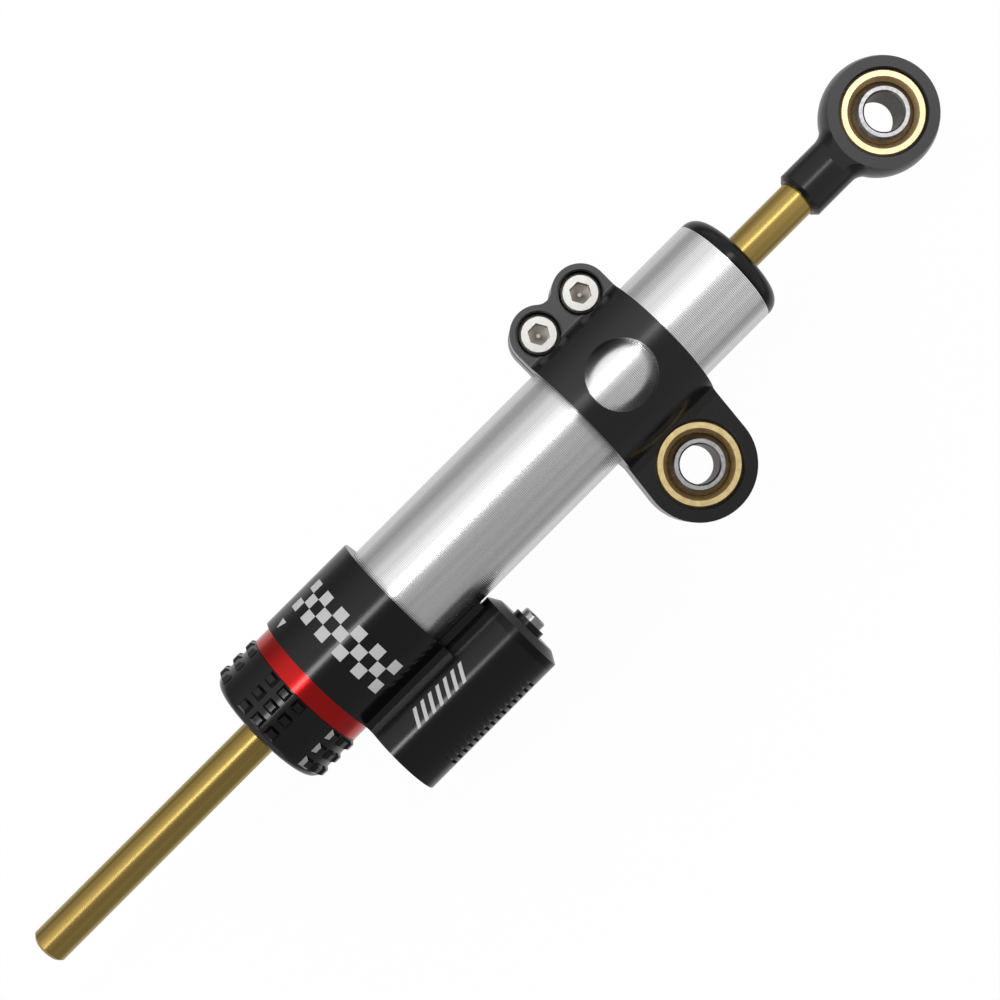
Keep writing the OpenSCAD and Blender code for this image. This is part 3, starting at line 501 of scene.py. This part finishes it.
def hatch(x0):
    """A row of slanted bars."""
    patches = []
    for i in range(HATCH_COUNT):
        low = x0 + i * HATCH_PITCH
        high = low + HATCH_LEAN
        patches.append((
            (low, HATCH_LOW_ANGLE), (high, HATCH_HIGH_ANGLE),
            (high + HATCH_WIDTH, HATCH_HIGH_ANGLE), (low + HATCH_WIDTH, HATCH_LOW_ANGLE),
        ))
    return patches


squares = chequer(HOUSING_LOW_X + CHEQUER_FROM, HOUSING_R)
marks("housing_marks", squares + [index(HOUSING_LOW_X + INDEX_FROM)], HOUSING_R, AXIS_Y)
marks("reservoir_marks", hatch(HOUSING_LOW_X + HATCH_FROM), RESERVOIR_R, RESERVOIR_Y)


# Background and floor

WHITE = (1, 1, 1, 1)
AMBIENT = 0.62
FLOOR_Z = -70 * MM
FLOOR_SIZE = 12.0
FLOOR_TONE = 0.86
# How much of the floor's look is a glow; the rest is lit, and keeps the damper's shadow
FLOOR_GLOW = 0.96
# The glow in reflections, a painted pool of light: within the edge on both sides of the axis, and beyond
# it
TABLE_EDGE = 0.15
TABLE_FADE = 0.05
TABLE_GLOW = 0.75
ROOM_GLOW = 0.34


def seen_factor(mat):
    """1 on rays that show the background: camera, glossy and transmission rays."""
    path = add(mat, "ShaderNodeLightPath")
    total = path, "Is Camera Ray"
    for ray in ("Is Glossy Ray", "Is Transmission Ray"):
        total = calc(mat, "MAXIMUM", total, (path, ray))
    return total


def build_world():
    world = bpy.data.worlds.new("studio")
    scene.world = world
    world.use_nodes = True
    light = world.node_tree.nodes["Background"]
    light.inputs["Color"].default_value = WHITE
    light.inputs["Strength"].default_value = AMBIENT
    seen = add(world, "ShaderNodeBackground")
    seen.inputs["Color"].default_value = WHITE
    show(world, seen_factor(world), light, seen, "World Output")


def build_floor():
    """A pale floor; in reflections its glow is a painted pool of light, bright beside the damper and dim
    farther off, as a lit table is.
    """
    mat = material("pale_floor", (FLOOR_TONE, FLOOR_TONE, FLOOR_TONE), 1.0, Specular_IOR_Level=0.0)
    share = calc(mat, "MULTIPLY", seen_factor(mat), FLOOR_GLOW)
    off = calc(mat, "SUBTRACT", (axes(mat, place(mat)), "Y"), AXIS_Y)
    away = calc(mat, "ABSOLUTE", off)
    inner_edge = TABLE_EDGE - TABLE_FADE
    outer_edge = TABLE_EDGE + TABLE_FADE
    fade = span(mat, away, inner_edge, outer_edge, TABLE_GLOW, ROOM_GLOW, smooth=True)
    camera_ray = add(mat, "ShaderNodeLightPath"), "Is Camera Ray"
    glow = add(mat, "ShaderNodeEmission")
    feed(mat, glow, "Strength", blend(mat, "FLOAT", camera_ray, fade, 1.0))
    show(mat, share, mat.node_tree.nodes["Principled BSDF"], glow, "Material Output")
    bpy.ops.mesh.primitive_plane_add(size=FLOOR_SIZE, location=(0, 0, FLOOR_Z))
    floor = bpy.context.object
    floor.name = "floor"
    floor.data.materials.append(mat)


# A paper canopy over the damper, which gives the metal its soft reflections

CANOPY_R = 1.3
CANOPY_ENDS = (-1.6, 1.6)
CANOPY_STEPS = 48
# How bright the canopy is at each angle round the damper, in degrees from +Z towards +Y
CANOPY_STOPS = [
    (-100, 0.44), (-82, 0.38), (-56, 0.37), (-30, 0.38), (-8, 0.35), (4, 0.33), (9, 0.50), (16, 0.75),
    (24, 1.00), (33, 1.05), (44, 0.98), (56, 0.86), (68, 0.68), (82, 0.50), (92, 0.38), (100, 0.36),
]
CANOPY_FIRST = CANOPY_STOPS[0][0]
CANOPY_LAST = CANOPY_STOPS[-1][0]
CANOPY_BRIGHTEST = max(value for _, value in CANOPY_STOPS)
# Along this stretch of X the canopy comes to the tone of its open end
CANOPY_OPEN_FROM = 0.28
CANOPY_OPEN_TO = 0.56
CANOPY_OPEN_VALUE = 1.1


def canopy_mesh():
    points = []
    for i in range(CANOPY_STEPS + 1):
        angle = CANOPY_FIRST + (CANOPY_LAST - CANOPY_FIRST) * i / CANOPY_STEPS
        points += [on_round(x, angle, CANOPY_R, AXIS_Y) for x in CANOPY_ENDS]
    faces = [(2 * i, 2 * i + 1, 2 * i + 3, 2 * i + 2) for i in range(CANOPY_STEPS)]
    mesh = bpy.data.meshes.new("canopy")
    mesh.from_pydata(points, [], faces)
    return mesh


def canopy_tone(mat, turn):
    """The canopy's tone from 0 to 1 at a share of its turn, through its stops."""
    tone = add(mat, "ShaderNodeFloatCurve")
    tone.mapping.extend = "HORIZONTAL"
    stops = [
        ((angle - CANOPY_FIRST) / (CANOPY_LAST - CANOPY_FIRST), value / CANOPY_BRIGHTEST)
        for angle, value in CANOPY_STOPS
    ]
    curve = tone.mapping.curves[0]
    curve.points[0].location = stops[0]
    curve.points[1].location = stops[-1]
    for stop in stops[1:-1]:
        curve.points.new(*stop)
    for point in curve.points:
        point.handle_type = "VECTOR"
    tone.mapping.update()
    feed(mat, tone, "Value", turn)
    return tone, "Value"


def build_canopy():
    """The canopy, whose tone changes with the angle round the damper. Only reflections show it."""
    mat = bpy.data.materials.new("canopy_paper")
    mat.use_nodes = True
    parts = axes(mat, place(mat))
    side = calc(mat, "SUBTRACT", (parts, "Y"), AXIS_Y)
    angle = calc(mat, "ARCTAN2", side, (parts, "Z"))
    turn = span(mat, angle, math.radians(CANOPY_FIRST), math.radians(CANOPY_LAST))
    strength = calc(mat, "MULTIPLY", canopy_tone(mat, turn), CANOPY_BRIGHTEST)
    open_end = span(mat, (parts, "X"), CANOPY_OPEN_FROM, CANOPY_OPEN_TO, smooth=True)
    paper = add(mat, "ShaderNodeEmission")
    feed(mat, paper, "Strength", blend(mat, "FLOAT", open_end, strength, CANOPY_OPEN_VALUE))
    link(mat, paper, 0, mat.node_tree.nodes["Material Output"], "Surface")
    mesh = canopy_mesh()
    mesh.materials.append(mat)
    canopy = new_object("canopy", mesh)
    canopy.visible_camera = False
    canopy.visible_diffuse = False
    canopy.visible_shadow = False


# Lamps

# A strip of light along X for the black pieces: its place, and its lengths with their radiances
STRIP_ANGLE = 14
STRIP_DISTANCE = 1.2
STRIP_WIDTH = 0.14
STRIPS = [(-1.10, -0.36, 3.4), (-0.36, -0.17, 12.5), (-0.17, 0.24, 2.8), (0.24, 1.00, 8.5)]


def lamp(name, angle, distance, x, size_x, size_round, radiance, shines=False):
    """An area lamp facing the damper, at an angle from +Z towards +Y; its power follows its radiance."""
    data = bpy.data.lights.new(name, "AREA")
    data.shape = "RECTANGLE"
    data.size = size_x
    data.size_y = size_round
    data.energy = radiance * math.pi * size_x * size_round
    obj = new_object(name, data)
    a = math.radians(angle)
    out = Vector((0, math.sin(a), math.cos(a)))
    side = Vector((1, 0, 0))
    stand(obj, Vector((x, AXIS_Y, 0)) + out * distance, side, out.cross(side), out)
    obj.visible_glossy = shines


def build_lamps():
    lamp("key", angle=36, distance=1.1, x=-0.05, size_x=1.8, size_round=0.75, radiance=1.3)
    lamp("low_strip", angle=-76, distance=1.1, x=-0.05, size_x=1.8, size_round=0.3, radiance=0.8)
    for number, (x0, x1, radiance) in enumerate(STRIPS):
        lamp(
            "strip_%d" % number, angle=STRIP_ANGLE, distance=STRIP_DISTANCE, x=(x0 + x1) / 2,
            size_x=x1 - x0, size_round=STRIP_WIDTH, radiance=radiance, shines=True,
        )
    lamp(
        "spark", angle=6, distance=1.0, x=0.10, size_x=0.05, size_round=0.05, radiance=7.0, shines=True,
    )


# Camera

EYE = Vector((-45.1, 34.3, 437.3)) * MM
AIM = Vector((-41.4, 28.8, 0)) * MM
# The photograph's top is halfway between +X and +Y
PHOTO_UP = Vector((1, 1, 0))
LENS = 62.5
SENSOR = 36.0
CLIP_NEAR = 0.01
CLIP_FAR = 50


def build_camera():
    data = bpy.data.cameras.new("camera")
    data.lens = LENS
    data.sensor_width = SENSOR
    data.sensor_fit = "HORIZONTAL"
    data.clip_start = CLIP_NEAR
    data.clip_end = CLIP_FAR
    camera = new_object("camera", data)
    back = (EYE - AIM).normalized()
    side = PHOTO_UP.cross(back).normalized()
    stand(camera, EYE, side, back.cross(side), back)
    scene.camera = camera


build_world()
build_floor()
build_canopy()
build_lamps()
build_camera()
scene.view_settings.view_transform = "Standard"
